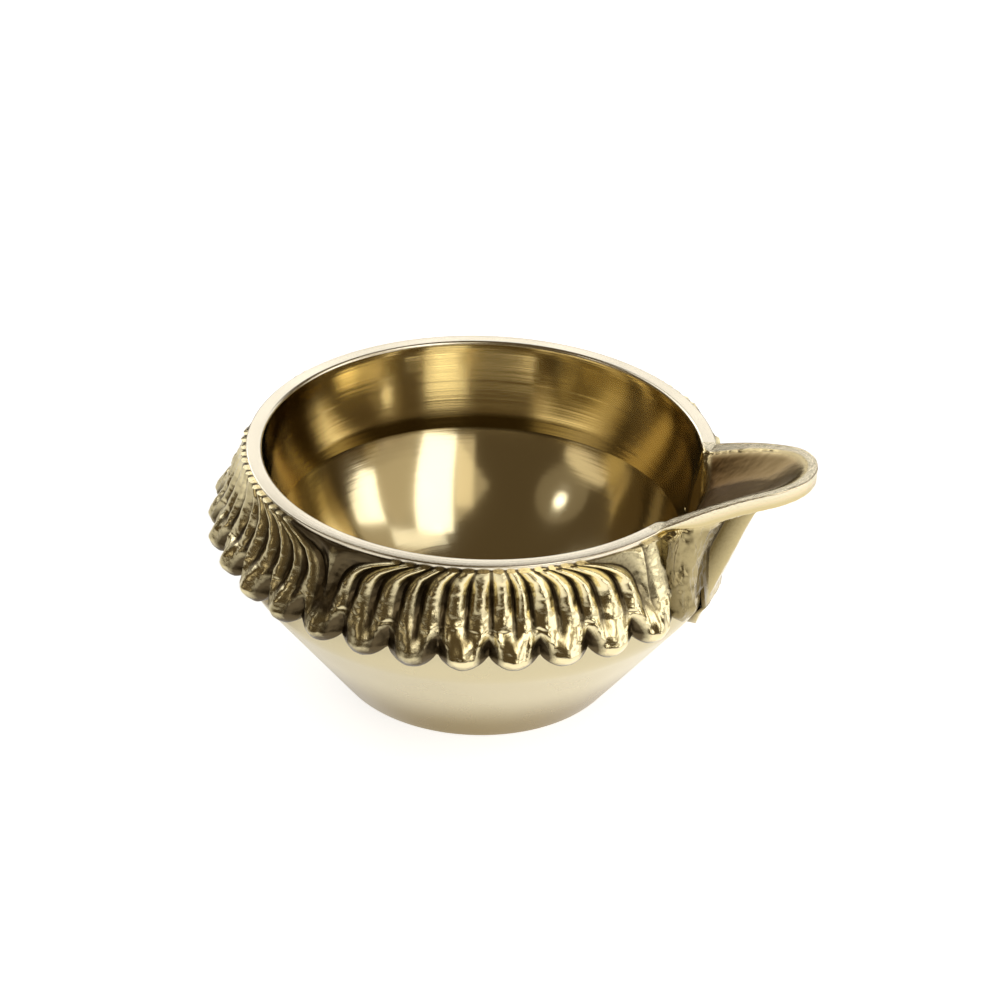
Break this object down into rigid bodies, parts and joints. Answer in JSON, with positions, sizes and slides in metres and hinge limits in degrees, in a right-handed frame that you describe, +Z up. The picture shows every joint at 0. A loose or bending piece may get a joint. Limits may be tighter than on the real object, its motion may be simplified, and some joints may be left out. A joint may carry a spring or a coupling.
{
  "type": "oil lamp",
  "caption": "Small brass oil lamp: a turned bowl on a flat foot, a fluted leaf collar with a scalloped fringe round its neck, and one raised spout that carries the wick.",
  "frame": {"origin": "middle of the flat foot, on the bowl's axis, on the table", "axes": "+Z up along the bowl's axis, +X along the spout, +Y to the left of the spout"},
  "size_m": [0.0786, 0.07, 0.0381],
  "materials": {
    "turned_brass": "turned and polished, fine lathe lines",
    "cast_brass": "as cast, dark in the grooves, rubbed bright on the ridges",
    "filed_brass": "filed, slightly grainy"
  },
  "bodies": {
    "root": {"bowl": "turned_brass", "leaf_collar": "cast_brass", "wick_spout": "filed_brass"}
  },
  "joints": []
}
